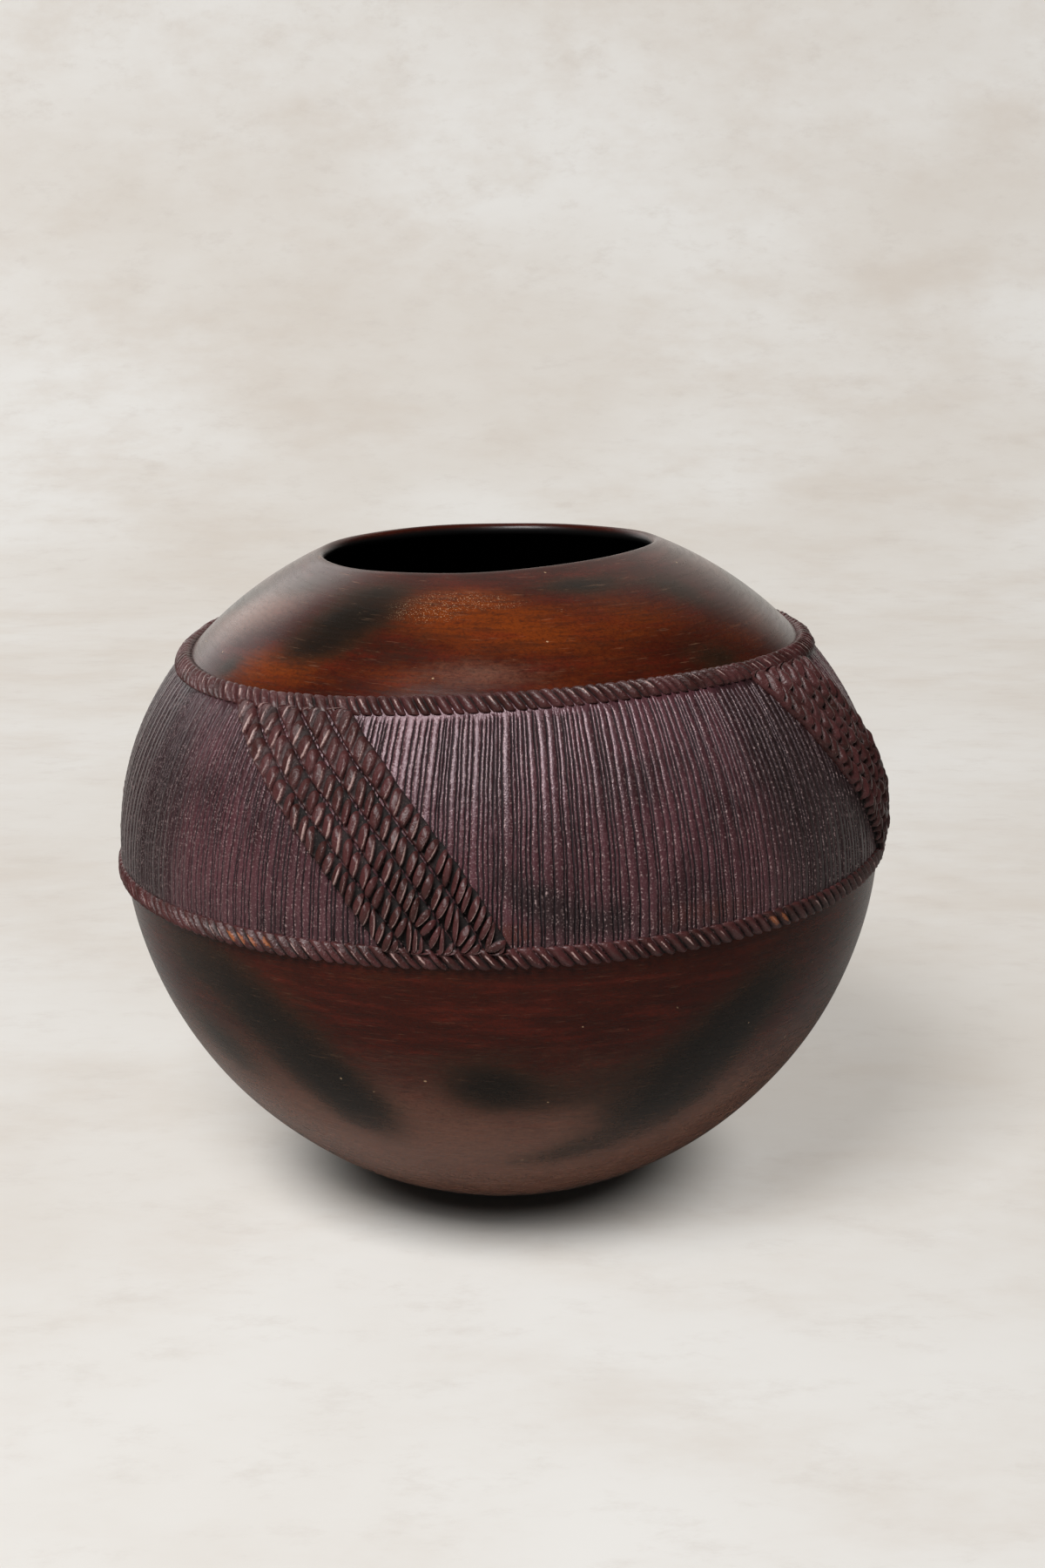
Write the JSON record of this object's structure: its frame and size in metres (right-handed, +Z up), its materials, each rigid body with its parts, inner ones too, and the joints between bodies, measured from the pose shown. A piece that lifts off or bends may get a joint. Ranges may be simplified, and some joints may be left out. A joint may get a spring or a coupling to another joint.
{
  "type": "clay pot",
  "caption": "Round hand-built clay beer pot with a flat foot and open mouth, its combed belly band closed by two notched clay ropes and crossed by slanting groups of notched cords.",
  "frame": {"origin": "middle of the flat foot, on the surface that the pot stands on", "axes": "+Z up through the mouth, -Y towards the front that the picture shows, +X to the right of that front"},
  "size_m": [0.3375, 0.3379, 0.2807],
  "materials": {
    "burnished_clay": "burnished, rust brown with black fire clouds",
    "combed_clay": "matt, combed, dark purple brown",
    "notched_clay": "satin, hand-notched, dark purple brown"
  },
  "bodies": {
    "root": {"vessel_wall": "burnished_clay", "combed_belly_band": "combed_clay", "upper_rope": "notched_clay", "lower_rope": "notched_clay", "front_left_cord_1": "notched_clay", "front_left_cord_2": "notched_clay", "front_left_cord_3": "notched_clay", "front_left_cord_4": "notched_clay", "front_left_cord_5": "notched_clay", "front_right_cord_1": "notched_clay", "front_right_cord_2": "notched_clay", "front_right_cord_3": "notched_clay", "front_right_cord_4": "notched_clay", "front_right_cord_5": "notched_clay", "back_right_cord_1": "notched_clay", "back_right_cord_2": "notched_clay", "back_right_cord_3": "notched_clay", "back_right_cord_4": "notched_clay", "back_right_cord_5": "notched_clay", "back_left_cord_1": "notched_clay", "back_left_cord_2": "notched_clay", "back_left_cord_3": "notched_clay", "back_left_cord_4": "notched_clay", "back_left_cord_5": "notched_clay"}
  },
  "joints": []
}
